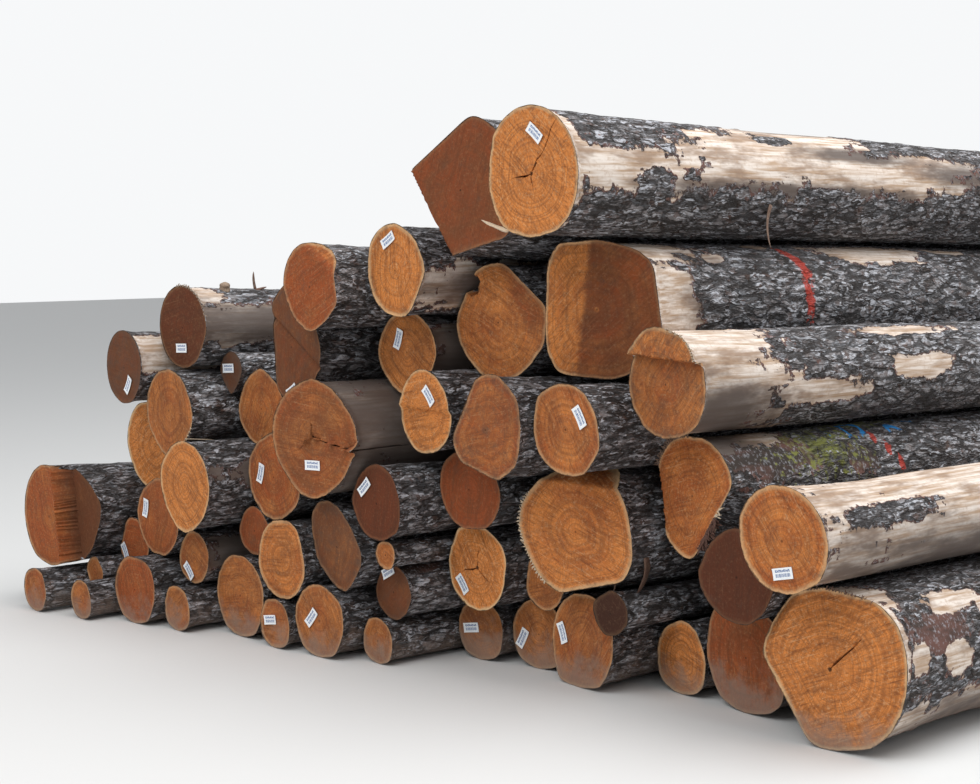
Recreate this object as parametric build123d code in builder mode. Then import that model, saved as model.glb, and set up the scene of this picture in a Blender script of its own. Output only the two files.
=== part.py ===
from build123d import *
from math import atan2, cos, degrees, hypot, radians, sin, sqrt
import os

os.makedirs("parts", exist_ok=True)

# Driving sizes in millimetres. X runs across the pile, Y along the logs away from the seen ends, Z up.
LOG_LENGTH = 3800  # a 12 ft sawlog with its trim
NARROWING = 12  # diameter lost in each metre of length, for each metre of diameter
SEAT = 0.3  # between a log and what it lies on
CLEAR = 3  # between the swellings of neighbouring logs
SWELL = 0.05  # how far a log's sides swell out between its seats, in radii
BUTT_FLARE = 0.06  # how much more the sawn end flares, in radii
FLARE_LENGTH = 450  # behind which nothing of the sawn end's shape is left
SEAT_ARC = 22  # degrees to each side of a seat where the log stays round
SIDES = 20  # flats that a log is rounded with, besides its seats
CUT_ROOM = 4  # sides of a block that clears what a cut takes off the end, in radii
CHECK_WIDTH = 5  # of a wide crack in the end
KNOT_HEIGHT = 25  # that a branch's stub stands out of the side
TAG_WIDTH = 80
TAG_HEIGHT = 38
TAG_THICKNESS = 1.5
TAG_SEAT = 0.3

APEX = 1e6 / NARROWING  # all the logs' cones end in one point on the ground, this far behind
STATIONS = (0, FLARE_LENGTH, LOG_LENGTH)

logs = {}


class Log:
    """One log: its size, its place in the pile, and how its sawn end departs from a square round cut."""

    def __init__(self, dia, front, face=(0, 0), oval=(90, 1), flats=(), lobes=(), steps=(), checks=(),
                 grooves=(), hollows=(), knots=(), tag=None):
        self.radius = dia / 2
        self.front = front  # how far its end stands back from the first log's, minus is nearer
        self.face = face  # degrees that the end looks to the right and up
        self.oval = oval  # direction of the end's longer axis, and how much longer than wide it is
        self.flats = flats  # (direction, distance from the axis in radii) of the flat sides
        self.lobes = lobes  # (direction, half width in degrees, height in radii)
        self.steps = steps  # (direction, distance from the axis in radii, depth in mm, rake in degrees)
        self.checks = checks  # (direction, reach in radii, depth in mm) of the wide cracks
        self.grooves = grooves  # (direction, distance from the axis in radii, width in mm) right across
        self.hollows = hollows  # (direction, distance from the axis in radii, radius and depth in mm)
        self.knots = knots  # (distance from the end in mm, direction, radius in mm)
        self.tag = tag  # (side, up in radii, turn in degrees)
        self.carriers = ()


def on_ground(name, beside, **form):
    """A log of the ground row, which touches the one to its right."""
    log = Log(**form)
    log.z = log.radius
    log.x = 0
    if beside:
        other = logs[beside]
        reach = log.radius + other.radius + SEAT
        log.x = other.x - sqrt(reach**2 - (log.radius - other.radius) ** 2)
        log.carriers = (beside,)
    logs[name] = log


def on_two(name, left, right, **form):
    """A log that lies in the hollow between two others."""
    log = Log(**form)
    a, b = logs[left], logs[right]
    reach_a = a.radius + log.radius + SEAT
    reach_b = b.radius + log.radius + SEAT
    apart = hypot(b.x - a.x, b.z - a.z)
    along = (reach_a**2 - reach_b**2 + apart**2) / (2 * apart)
    rise = sqrt(max(reach_a**2 - along**2, 0))
    ux, uz = (b.x - a.x) / apart, (b.z - a.z) / apart
    log.x = a.x + along * ux - rise * uz
    log.z = a.z + along * uz + rise * ux
    log.carriers = (left, right)
    logs[name] = log


# The ground row, from the right
on_ground("log_54", None, dia=530, front=0, face=(6, 2), flats=[(216, 0.76)],
          lobes=[(142, 25, 0.12), (35, 30, 0.06)], steps=[(148, 0.84, 0, 35)], checks=[(45, 0.5, 60)])
on_ground("log_53", "log_54", dia=390, front=130, face=(-5, 0), lobes=[(95, 50, 0.12)])
on_ground("log_52", "log_53", dia=262, front=150, face=(-6, 0), lobes=[(105, 40, 0.3)])
on_ground("log_51", "log_52", dia=350, front=-50, face=(-5, 3),
          lobes=[(60, 50, 0.12), (240, 40, 0.15)], tag=(-0.65, 0.05, -64))
on_ground("log_50", "log_51", dia=270, front=20, face=(5, 0), tag=(-0.6, -0.2, 63))
on_ground("log_49", "log_50", dia=240, front=-50, face=(5, 0), tag=(-0.4, 0, 10))
on_ground("log_35", "log_49", dia=180, front=-390)
on_ground("log_32", "log_35", dia=290, front=-500, face=(4, 0), tag=(-0.3, 0.05, 50))
on_ground("log_31", "log_32", dia=200, front=-540, tag=(-0.3, 0.1, 10))
on_ground("log_36", "log_31", dia=340, front=-530)
on_ground("log_24", "log_36", dia=190, front=-670)
on_ground("log_23", "log_24", dia=290, front=-730, face=(4, 0))
on_ground("log_22", "log_23", dia=170, front=-860)
on_ground("log_44", "log_22", dia=100, front=-730)
on_ground("log_20", "log_44", dia=190, front=-930)

# Second row
on_two("log_47", "log_53", "log_54", dia=312, front=-70)
on_two("log_55", "log_51", "log_52", dia=160, front=-120)
on_two("log_48", "log_50", "log_51", dia=210, front=-40)
on_two("log_37", "log_49", "log_50", dia=330, front=-150,
       checks=[(80, 0.45, 40), (200, 0.5, 40), (325, 0.5, 40)], tag=(-0.5, -0.45, -51))
on_two("log_33", "log_35", "log_49", dia=215, front=-350, face=(-3, 0), tag=(-0.3, 0.7, 28))
on_two("log_34", "log_33", "log_37", dia=110, front=-420)
on_two("log_29", "log_32", "log_33", dia=310, front=-460, oval=(130, 1.45))
on_two("log_27", "log_31", "log_32", dia=320, front=-520)
on_two("log_26", "log_36", "log_27", dia=200, front=-480)
on_two("log_25", "log_24", "log_36", dia=215, front=-590, tag=(-0.35, -0.55, -46))
on_two("log_21", "log_44", "log_22", dia=135, front=-720)
on_two("log_18", "log_22", "log_23", dia=235, front=-600, tag=(-0.65, -0.3, -59))
on_two("log_19", "log_20", "log_21", dia=425, front=-850, lobes=[(355, 60, 1.1)],
       steps=[(10, 0.2, 100, 8)])

# Third row
on_two("log_46", "log_47", "log_54", dia=335, front=-180, tag=(0.05, -0.6, 13))
on_two("log_43", "log_48", "log_51", dia=490, front=-130, face=(9, 0), flats=[(285, 0.84)],
       lobes=[(40, 30, 0.15)], steps=[(90, 0.85, 0, 55)])
on_two("log_45", "log_43", "log_47", dia=415, front=20, face=(-8, 0), flats=[(325, 0.64), (190, 0.82)],
       lobes=[(85, 30, 0.3)])
on_two("log_30", "log_29", "log_34", dia=285, front=-440, tag=(-0.5, 0.4, 43))
on_two("log_38", "log_30", "log_37", dia=305, front=-230, face=(4, 0))
on_two("log_28", "log_26", "log_27", dia=345, front=-480, tag=(-0.5, 0.05, 74))
on_two("log_17", "log_18", "log_25", dia=325, front=-620, tag=(-0.6, 0.2, -101))
on_two("log_16", "log_17", "log_26", dia=365, front=-670)

# Fourth row
on_two("log_40", "log_38", "log_43", dia=375, front=-350, flats=[(150, 0.74), (256, 0.84)],
       lobes=[(84, 22, 0.15), (30, 35, 0.1), (308, 28, 0.22)])
on_two("log_41", "log_40", "log_43", dia=322, front=-290, tag=(0.45, 0.3, -58))
on_two("log_39", "log_38", "log_40", dia=315, front=-350, face=(-4, 0), steps=[(270, -0.05, 14, 0)],
       tag=(0.2, 0.4, -47))
on_two("log_13", "log_28", "log_30", dia=440, front=-530, face=(9, 0),
       checks=[(352, 1.2, 250), (218, 0.45, 60), (100, 0.3, 40)], tag=(0, -0.5, 2))
on_two("log_12", "log_16", "log_28", dia=315, front=-390)
on_two("log_15", "log_19", "log_17", dia=405, front=-480, face=(4, 0))
on_two("log_14", "log_15", "log_16", dia=350, front=-610, lobes=[(275, 25, 0.12)])

# Fifth row
on_two("log_42", "log_41", "log_45", dia=370, front=-160, face=(-5, 0), lobes=[(45, 25, 0.12)],
       steps=[(268, -0.5, 45, 0)])
on_two("log_3", "log_41", "log_42", dia=500, front=-110, flats=[(178, 0.92), (5, 0.8)],
       lobes=[(128, 22, 0.1), (228, 22, 0.1), (335, 18, 0.12)], steps=[(352, -0.3, 0, 22)])
on_two("log_4", "log_39", "log_40", dia=445, front=-140, flats=[(50, 0.78)],
       lobes=[(240, 30, 0.08), (338, 20, 0.1)], steps=[(35, 0.4, 0, 24)],
       hollows=[(137, 0.88, 38, 50)])
on_two("log_7", "log_13", "log_39", dia=330, front=-230, tag=(-0.3, 0.3, -109))
on_two("log_8", "log_12", "log_13", dia=430, front=-420, face=(-6, 0), flats=[(186, 0.66)],
       lobes=[(90, 28, 0.2)], grooves=[(63, 0.14, 34)], tag=(0, -0.8, 27))
on_two("log_11", "log_14", "log_12", dia=150, front=-420, lobes=[(265, 60, 0.5)], tag=(-0.2, 0.1, 4))
on_two("log_10", "log_15", "log_14", dia=305, front=-650, face=(-4, 0), tag=(0.25, -0.45, 57))
on_two("log_9", "log_14", "log_11", dia=335, front=-540, knots=[(170, 75, 22)], tag=(-0.05, -0.5, 3))

# The top
on_two("log_6", "log_8", "log_7", dia=320, front=-530, lobes=[(345, 60, 0.7), (22, 35, 0.8)],
       steps=[(60, 0.75, 0, 35)])
on_two("log_5", "log_6", "log_7", dia=335, front=-370, tag=(-0.25, 0.7, 31))
on_two("log_2", "log_5", "log_4", dia=510, front=-310, face=(9, 0),
       flats=[(124, 0.8), (213, 0.64), (285, 0.84)])
on_two("log_1", "log_2", "log_3", dia=430, front=-400,
       checks=[(56, 0.95, 60), (193, 0.42, 40), (281, 0.25, 40)], tag=(0.1, 0.65, -38))

right_side = max(log.x + log.radius for log in logs.values())
left_side = min(log.x - log.radius for log in logs.values())
middle = (right_side + left_side) / 2
front_end = min(log.front for log in logs.values())
back_end = max(log.front for log in logs.values()) + LOG_LENGTH
halfway = (front_end + back_end) / 2


def scale_at(y):
    """How much smaller everything is at y than at the first log's end."""
    return 1 - y / APEX


def turn(a, b):
    """The angle between two directions, in degrees from 0 to 180."""
    return abs((a - b + 180) % 360 - 180)


def smooth(value):
    """0 below 0, 1 above 1 and an even rise between."""
    value = min(max(value, 0), 1)
    return value * value * (3 - 2 * value)


def neighbours(name, from_y, to_y):
    """(direction, distance to the plane halfway to it, whether it touches) of all near it in a range of y."""
    log = logs[name]
    found = [(270, log.z, len(log.carriers) < 2)]
    for other_name, other in logs.items():
        if other is log or other.front > to_y or other.front + LOG_LENGTH < from_y:
            continue
        apart = hypot(other.x - log.x, other.z - log.z)
        if apart > 2 * (log.radius + other.radius):
            continue
        plane = (apart**2 + log.radius**2 - other.radius**2) / (2 * apart)
        touches = other_name in log.carriers or name in other.carriers
        found.append((degrees(atan2(other.z - log.z, other.x - log.x)), plane, touches))
    return found


def directions(log, near):
    """The directions of an outline's corners: one at each seat and the rest evenly between."""
    seats = sorted(direction % 360 for direction, plane, touches in near if touches)
    even = [360 * i / SIDES for i in range(SIDES)]
    half_side = 180 / SIDES
    return sorted(seats + [at for at in even if all(turn(at, seat) > half_side for seat in seats)])


def reach(log, at, share, near):
    """The log's radius in one direction; share is 1 at the sawn end and 0 on the body."""
    free = 1
    for direction, plane, touches in near:
        if touches:
            free *= smooth((turn(at, direction) - SEAT_ARC) / SEAT_ARC)
    swell = SWELL * (0.6 + 0.4 * sin(radians(2 * at + log.radius)))
    radius = 1 + free * (swell + share * BUTT_FLARE)
    direction, stretch = log.oval
    across = radians(at - direction)
    oval = 1 / hypot(cos(across) / sqrt(stretch), sin(across) * sqrt(stretch))
    radius *= 1 + share * (oval - 1)
    for direction, width, height in log.lobes:
        radius += share * height * smooth(1 - turn(at, direction) / width)
    radius *= log.radius
    for direction, plane, touches in near:
        if turn(at, direction) < 80:
            limit = (plane - CLEAR / 2) / cos(radians(turn(at, direction)))
            radius = min(radius, max(limit, log.radius) if touches else limit)
    return radius


def end_plane(log, y, side, up):
    """The plane of a section of the log that looks back to the front, turned to the side and up."""
    scale = scale_at(y)
    centre = (log.x * scale - middle, y - halfway, log.z * scale)
    normal = (sin(radians(side)), -cos(radians(side)) * cos(radians(up)), sin(radians(up)))
    return Plane(origin=centre, x_dir=(cos(radians(side)), sin(radians(side)), 0), z_dir=normal)


def cut_end(log):
    """Takes flats, steps, cracks, grooves and hollows out of the sawn end, and adds the stubs of branches."""
    end = end_plane(log, log.front, *log.face)
    room = CUT_ROOM * log.radius
    for direction, distance in log.flats:
        inwards = (1 + SWELL + BUTT_FLARE - distance) * log.radius
        rake = degrees(atan2(FLARE_LENGTH, inwards))
        with Locations(end * Rot(Z=direction) * Pos(distance * log.radius, 0, 0) * Rot(Y=rake)):
            Box(room, room, room, align=(Align.MIN, Align.CENTER, Align.MIN), mode=Mode.SUBTRACT)
    for direction, distance, depth, rake in log.steps:
        with Locations(end * Rot(Z=direction) * Pos(distance * log.radius, 0, -depth) * Rot(Y=rake)):
            Box(room, room, room, align=(Align.MIN, Align.CENTER, Align.MIN), mode=Mode.SUBTRACT)
    for direction, length, depth in log.checks:
        with Locations(end * Rot(Z=direction)):
            from_pith = (Align.MIN, Align.CENTER, Align.CENTER)
            Box(length * log.radius, CHECK_WIDTH, 2 * depth, align=from_pith, mode=Mode.SUBTRACT)
    for direction, distance, width in log.grooves:
        with Locations(end * Rot(Z=direction) * Pos(distance * log.radius, 0, 0) * Rot(Y=45)):
            Box(width / sqrt(2), room, width / sqrt(2), mode=Mode.SUBTRACT)
    for direction, distance, radius, depth in log.hollows:
        with Locations(end * Rot(Z=direction) * Pos(distance * log.radius, 0, 0)):
            Cylinder(radius, 2 * depth, mode=Mode.SUBTRACT)
    for along, direction, radius in log.knots:
        y = log.front + along
        scale = scale_at(y)
        with Locations(Plane(
            origin=(log.x * scale - middle, y - halfway, log.z * scale),
            z_dir=(cos(radians(direction)), 0, sin(radians(direction))),
        )):
            height = log.radius * (1 + SWELL) + KNOT_HEIGHT
            Cylinder(radius, height, align=(Align.CENTER, Align.CENTER, Align.MIN))


for name, log in logs.items():
    corners = directions(log, neighbours(name, front_end, back_end))
    with BuildPart() as body:
        for i, station in enumerate(STATIONS):
            y = log.front + station
            before = log.front + STATIONS[max(i - 1, 0)]
            after = log.front + STATIONS[min(i + 1, len(STATIONS) - 1)]
            near = neighbours(name, before, after)
            share = smooth(1 - station / FLARE_LENGTH)
            radii = [scale_at(y) * reach(log, at, share, near) for at in corners]
            with BuildSketch(end_plane(log, y, *(log.face if i == 0 else (0, 0)))):
                points = [(r * cos(radians(at)), r * sin(radians(at))) for r, at in zip(radii, corners)]
                Polygon(*points, align=None)
        loft(ruled=True)
        cut_end(log)
    body.part.label = name
    export_step(body.part, f"parts/{name}.step")

# The scaler's tags, a hair off the sawn ends
with BuildPart() as log_tags:
    for log in logs.values():
        if log.tag:
            side, up, roll = log.tag
            plane = end_plane(log, log.front, *log.face)
            place = plane.offset(TAG_SEAT) * Pos(side * log.radius, up * log.radius) * Rot(Z=roll)
            with Locations(place):
                Box(TAG_WIDTH, TAG_HEIGHT, TAG_THICKNESS, align=(Align.CENTER, Align.CENTER, Align.MIN))
log_tags.part.label = "log_tags"
export_step(log_tags.part, "parts/log_tags.step")
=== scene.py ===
import math

import bpy
import numpy as np
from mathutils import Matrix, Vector


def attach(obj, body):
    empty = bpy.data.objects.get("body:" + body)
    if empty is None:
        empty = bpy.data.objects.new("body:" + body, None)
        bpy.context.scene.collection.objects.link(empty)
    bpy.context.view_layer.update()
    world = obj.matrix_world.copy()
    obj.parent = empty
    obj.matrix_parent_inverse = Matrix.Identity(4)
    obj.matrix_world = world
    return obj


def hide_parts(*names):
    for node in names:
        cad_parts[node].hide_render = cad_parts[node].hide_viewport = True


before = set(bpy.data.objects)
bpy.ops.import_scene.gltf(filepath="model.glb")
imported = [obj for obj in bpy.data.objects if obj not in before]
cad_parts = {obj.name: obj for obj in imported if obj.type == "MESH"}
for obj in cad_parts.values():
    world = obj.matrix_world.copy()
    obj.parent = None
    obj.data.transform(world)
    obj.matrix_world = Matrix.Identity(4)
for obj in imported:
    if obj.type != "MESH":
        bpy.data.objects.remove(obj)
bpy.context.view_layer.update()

bl_info = {
    "name": "Stack of Sawlogs",
    "version": (1, 0, 0),
    "blender": (4, 5, 0),
    "location": "3D View > Sidebar > Logs",
    "description": "Dresses a pile of sawlogs with bark, sawn ends and tags",
    "category": "Object",
}

# Lengths are in metres, directions in degrees from X towards Z, along is the way back from the sawn end
FULL_TURN = 2 * math.pi
END_SLOPE = -0.35  # a triangle whose normal has less than this along Y belongs to the sawn end
SIDE_SLOPE = 0.6  # a triangle whose normal has less than this along Y, either way, belongs to the side
AXIS_FROM = 1.2  # where the flare is over, so that the axis can be read
BACK_MARGIN = 0.01  # how far before the far end the axis is read again
SLOT_DEPTH = 0.02  # what lies this much deeper than all about it is a narrow slot
STATIONS = (0.004, 0.05, 0.1, 0.15, 0.25, 0.36, 0.45, 0.9, 1.6, 2.4, 3.2, 3.78)  # where the side is read
STATED_LENGTH = 3.8  # the length of log that the stations are stated for
KNOT_REACH, KNOT_ARC = 0.06, 16  # left out about a branch's stub: along on the end, around on the side
FACE_STEP, FACE_BLEND = 0.006, 0.008  # how far off the main face the lesser face starts, and fades in
SAW_RIPPLE = 0.004
FAR_RINGS = (0.92, 0.6, 0.3)  # the rings of the far end, in shares of its radius
RING_CROWDING = 1.25  # how much closer the sawn end's rings lie near its rim
MOST_RIM = 0.75  # how far out the rim is looked for, in widths of the log
LEAST_RIM = 0.15  # where the search starts, as a share of that
RIM_TRIES, RIM_HALVINGS = 48, 7
INSIDE_RIM = 0.985  # where the rim's own depth is read, in shares of its distance
RIM_SPIKE = 1.02  # how far the rim may stand out over its surroundings, as a ratio
LEAST_SIDE = 0.3  # a reading of the side under this share of the rim is a miss
SIDE_EASE = 1.003  # makes up for what the smoothing takes off
SIDE_BLUR = 5.0  # how widely the side is smoothed around, in degrees
LOG_CREASE, TAG_CREASE = 52, 40  # edges sharper than this, in degrees, aren't smoothed
SPLIT_PULL = 0.65  # how far the columns beside a split come to it, in steps between columns
PLATE, SCALE = (0.035, 0.06), (0.02, 0.03)  # size of the relief's cells, around and along
TEAR, NICK = (0.05, 0.09), (0.025, 0.035)  # size of the blocks that make a patch's outline ragged
TEAR_SHARE, NICK_SHARE = 0.45, 0.3
OUTLINE_BLEND = 0.12  # how softly bark goes over into bare wood, in the measure of the patches' fields
WAVE, WAVE_DEPTH = 0.4, 0.008  # the long, shallow waves of the side
RELIEF_FADE = 0.03  # the relief grows from nothing at the rim over this length
CHECK_HALF, CHECK_TIP, CHECK_WAVER = 0.0035, 0.0008, 0.022  # half its width, what stays at its tip, its play
SPLIT_DEPTH, SPLIT_LENGTH = 0.03, 0.35  # of the notch that a check makes in the side where it splits the rim
PATCHES = ("bare", "inner", "wear_and_shade", "moss", "red_paint", "blue_paint")
OUTSIDE = -3.0  # the field of a patch where there is none


class Look:
    """How one log is dressed: the colour of its end, its checks, and the patches on its side."""

    def __init__(self, fresh=0.5, red=0.3, dark=0.0, second=None, grime=0.3, sap=0.006, mud=0.0, bark=0.5,
                 checks=(), chip=None, knot=None, patches=(), sides=56, rows=44, rings=12):
        self.tint = (fresh, red, dark)
        self.second = second or self.tint  # the tint of the end's lesser face
        self.grime, self.sap, self.mud = grime, sap, mud
        self.bark = bark  # from 0, dark brown, to 1, pale grey
        self.checks = checks  # (direction, reach in radii, depth) of wide cracks
        self.chip = chip  # (direction, distance from the axis, slope) of a slanted cut across the end's edge
        self.knot = knot  # (along, direction) of a branch's stub, which is made with the tatters
        self.patches = patches  # (kind, along, direction, half length, half arc)
        self.sides, self.rows, self.rings = sides, rows, rings


BIG = dict(sides=140, rows=190, rings=24)
END = dict(sides=130, rows=60, rings=28)
FAIR = dict(sides=88, rows=60, rings=16)

LOOKS = {
    "log_1": Look(1.0, 0.05, checks=((56, 0.95, 0.03), (193, 0.42, 0.03), (281, 0.25, 0.02)), patches=(
        ("bare", 0.0, 40, 0.05, 80), ("bare", 0.28, 8, 0.34, 24), ("bare", 0.95, 26, 0.4, 36),
        ("bare", 1.3, 62, 0.36, 46), ("bare", 1.65, 20, 0.75, 25), ("kept", 0.42, -8, 0.1, 17),
        ("kept", 1.1, 56, 0.12, 8), ("wear_and_shade", 1.3, 95, 0.5, 30), ("wear_and_shade", 1.2, -8, 1.2, 14),
        ("wear_and_shade", 1.6, 40, 0.5, 16), ("wear_and_shade", 2.3, 22, 0.4, 26)), **BIG),
    "log_3": Look(0.85, 0.3, second=(0.2, 0.45, 0.3), bark=0.7, patches=(
        ("bare", 1.38, 62, 0.33, 17), ("bare", 1.95, 68, 0.13, 6), ("bare", 0.75, 74, 0.07, 7),
        ("bare", 0.38, 50, 0.06, 6), ("bare", 0.0, 66, 0.33, 24), ("bare", 0.0, 8, 0.17, 42),
        ("wear_and_shade", 0.36, 10, 0.3, 60), ("red_paint", 0.84, 46, 0.035, 27),
        ("red_paint", 0.81, 8, 0.03, 22)), **BIG),
    "log_42": Look(0.55, 0.3, second=(0.9, 0.2, 0.0), grime=0.5, bark=0.7, patches=(
        ("bare", 0.0, 20, 0.45, 170), ("bare", 1.3, 66, 0.28, 10), ("bare", 0.62, -12, 0.28, 14),
        ("bare", 1.25, 10, 0.2, 15), ("wear_and_shade", 0.1, -40, 0.5, 70)), **BIG),
    "log_45": Look(0.85, 0.5, grime=0.25, bark=0.6, patches=(
        ("bare", 0.1, 92, 0.27, 36), ("inner", 0.25, 44, 0.22, 34), ("moss", 0.55, 48, 0.28, 40),
        ("moss", 0.85, 85, 0.34, 16), ("inner", 0.76, 30, 0.08, 20), ("wear_and_shade", 0.0, 60, 0.3, 60),
        ("blue_paint", 0.93, 72, 0.28, 18), ("red_paint", 0.88, 54, 0.02, 11),
        ("red_paint", 0.93, 36, 0.02, 11), ("red_paint", 0.98, 18, 0.02, 11)), **BIG),
    # on log_46 the last patch, aimed down at -50 degrees, is painted shade that darkens the lower side of the
    # bare wood
    "log_46": Look(0.8, 0.45, bark=0.6, sap=0.01, patches=(
        ("bare", 1.9, 0, 2.4, 360), ("kept", 0.38, 26, 0.26, 17), ("wear_and_shade", 1.9, -50, 3.4, 92)), **BIG),
    "log_54": Look(1.15, 0.1, mud=0.08, checks=((45, 0.5, 0.04),), bark=0.4, patches=(
        ("bare", 0.05, 76, 0.1, 22), ("bare", 0.37, 49, 0.15, 10), ("bare", 0.55, 38, 0.06, 10),
        ("bare", 0.1, 12, 0.05, 12), ("bare", 0.33, 8, 0.08, 12), ("bare", 0.9, -42, 1.0, 26),
        ("bare", 0.0, 36, 0.04, 30), ("wear_and_shade", 0.9, -46, 1.3, 40), ("inner", 0.25, 30, 0.2, 16)), **BIG),
    "log_2": Look(0.1, 0.6, 0.25, second=(0.2, 0.6, 0.15), **END),
    "log_4": Look(0.75, 0.3, second=(0.45, 0.4, 0.1), **END),
    "log_6": Look(0.4, 0.8, second=(0.75, 0.5, 0.0), **END),
    "log_8": Look(0.1, 0.3, 0.3, grime=0.45, **END),
    "log_9": Look(0.1, 0.6, 0.68, grime=0.15, bark=0.8, knot=(0.17, 75), patches=(
        ("bare", 0.03, 62, 0.1, 30), ("bare", 0.35, 8, 0.5, 34), ("wear_and_shade", 0.45, 8, 0.9, 60)), **END),
    "log_13": Look(0.35, 0.35, 0.1, checks=((352, 1.2, 0.04), (218, 0.45, 0.03), (100, 0.3, 0.03)),
                   patches=(("bare", 1.9, 0, 2.4, 360), ("wear_and_shade", 1.9, 0, 6.0, 900)), **END),
    "log_19": Look(0.55, 0.7, second=(0.0, 0.0, 0.45), **END),
    "log_40": Look(0.5, 0.6, grime=0.5, **END),
    # the chip's facet is fresh salmon wood, and its lesser tint, past fresh, is painted light against the
    # shade of the logs above
    "log_43": Look(0.9, 0.3, second=(1.5, 0.5, 0.0), chip=(90, 0.175, 1.6), sap=0.012, **END),
    "log_5": Look(1.0, 0.1, sap=0.01, patches=(
        ("wear_and_shade", 0.4, -20, 0.6, 40), ("bare", 0.4, -20, 0.5, 35)), **FAIR),
    "log_12": Look(0.5, 0.4, **FAIR),
    # fresh orange wood, pushed brighter than fresh and without grime as painted light against the shade its
    # neighbours cast
    "log_15": Look(1.3, 0.05, grime=0.0, **FAIR),
    "log_37": Look(1.3, 0.0, grime=0.0, checks=((80, 0.45, 0.03), (200, 0.5, 0.03), (325, 0.5, 0.03)),
                   **FAIR),
    "log_51": Look(0.45, 0.35, mud=0.1, **FAIR),
    "log_52": Look(0.9, 0.0, mud=0.04, **FAIR),
    "log_53": Look(0.3, 0.6, 0.1, mud=0.15, **FAIR),
    "log_7": Look(0.7, 0.1, patches=(("wear_and_shade", 0.4, 0, 2.0, 90), ("bare", 0.4, 10, 0.5, 40))),
    "log_10": Look(0.0, 0.3, 0.4, grime=0.5, patches=(("bare", 0.25, 30, 0.5, 34),)),
    "log_11": Look(0.0, 0.1, 0.5, grime=0.7),
    "log_14": Look(0.5, 0.2),
    "log_16": Look(0.95, 0.05, patches=(("wear_and_shade", 0.4, 20, 2.0, 80), ("bare", 0.45, 16, 0.4, 20))),
    "log_17": Look(0.4, 0.6),
    "log_18": Look(0.4, 0.9),
    "log_20": Look(0.5, 0.5),
    "log_23": Look(0.4, 0.8),
    "log_25": Look(0.45, 0.2, patches=(("wear_and_shade", 0.4, 20, 2.0, 90), ("bare", 0.4, 20, 0.5, 40))),
    "log_26": Look(0.2, 0.8, 0.05),
    "log_27": Look(0.75, 0.3, sap=0.01),
    "log_28": Look(0.5, 0.6),
    "log_29": Look(0.2, 0.2, 0.22, grime=0.5),
    "log_30": Look(0.0, 1.0, 0.66, grime=0.1),
    "log_33": Look(0.0, 0.3, 0.35, grime=0.4, bark=0.8, patches=(("inner", 0.05, 70, 0.14, 25),)),
    "log_38": Look(0.1, 1.0, 0.2),
    "log_39": Look(1.0, 0.1),
    "log_41": Look(0.6, 0.45),
    # log_47's end is dark red-brown wood, made darker still as painted shade
    "log_47": Look(0.0, 0.9, 0.8, grime=0.2),
    "log_49": Look(0.4, 0.1, mud=0.15),
    "log_50": Look(0.5, 0.2, mud=0.1),
    # painted shade: log_55 sits in the shade between log_43 and log_51, and its end is tinted nearly black to
    # stand for that shade
    "log_55": Look(0.0, 0.0, 0.97, grime=0.0),
}


def node_triangles(name):
    """The triangles of a CAD node as an array of corners, three by three numbers each."""
    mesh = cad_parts[name].data
    mesh.calc_loop_triangles()
    corners = np.empty(len(mesh.vertices) * 3)
    mesh.vertices.foreach_get("co", corners)
    index = np.empty(len(mesh.loop_triangles) * 3, np.int32)
    mesh.loop_triangles.foreach_get("vertices", index)
    return corners.reshape(-1, 3)[index].reshape(-1, 3, 3)


def depth_at(triangles, x, z, fallback):
    """Where rays along Y first meet the triangles: each ray's lowest Y among the triangles that hold it.

    A triangle holds a ray when the ray's shares of its three corners, as areas in X and Z, are none below 0.
    """
    a, b, c = (triangles[:, i, None] for i in range(3))
    ab, ac = b - a, c - a
    px, pz = x[None] - a[..., 0], z[None] - a[..., 2]
    area = ab[..., 0] * ac[..., 2] - ac[..., 0] * ab[..., 2]
    area = np.where(np.abs(area) < 1e-12, 1e-12, area)
    share_b = (px * ac[..., 2] - ac[..., 0] * pz) / area
    share_c = (ab[..., 0] * pz - px * ab[..., 2]) / area
    inside = (share_b >= -1e-6) & (share_c >= -1e-6) & (share_b + share_c <= 1 + 1e-6)
    y = a[..., 1] + share_b * ab[..., 1] + share_c * ac[..., 1]
    y = np.where(inside, y, np.inf).min(0)
    met = np.isfinite(y)
    return np.where(met, y, fallback), met


def reach_at(triangles, origin, angle):
    """How far rays go from the axis, square to it, before they leave the triangles for good.

    Each ray lies in a plane of constant Y at its angle from X towards Z, and the farthest crossing is taken.
    """
    a, b, c = (triangles[:, i, None] for i in range(3))
    ux, uz = np.cos(angle)[None], np.sin(angle)[None]
    ab, ac = b - a, c - a
    px, py, pz = uz * -ac[..., 1], uz * ac[..., 0] - ux * ac[..., 2], ux * ac[..., 1]
    volume = ab[..., 0] * px + ab[..., 1] * py + ab[..., 2] * pz
    volume = np.where(np.abs(volume) < 1e-12, 1e-12, volume)
    s = origin[None] - a
    share_b = (s[..., 0] * px + s[..., 1] * py + s[..., 2] * pz) / volume
    q = np.cross(s, ab)
    share_c = (ux * q[..., 0] + uz * q[..., 2]) / volume
    far = (ac * q).sum(-1) / volume
    hit = (share_b >= -1e-5) & (share_c >= -1e-5) & (share_b + share_c <= 1 + 1e-5) & (far > 0)
    return np.where(hit, far, 0).max(0)


def section_middle(triangles, guess, y):
    """The middle of a log's section at y: the area's centroid, from rays all round a guess inside it."""
    angle = np.arange(72) * FULL_TURN / 72
    start = np.array([guess[0], y, guess[2]])
    far = reach_at(triangles, np.tile(start, (72, 1)), angle)
    lean = 2 / 3 * (far ** 3 * np.array([np.cos(angle), np.sin(angle)])).sum(1) / (far ** 2).sum()
    return start + np.array([lean[0], 0, lean[1]])


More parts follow.
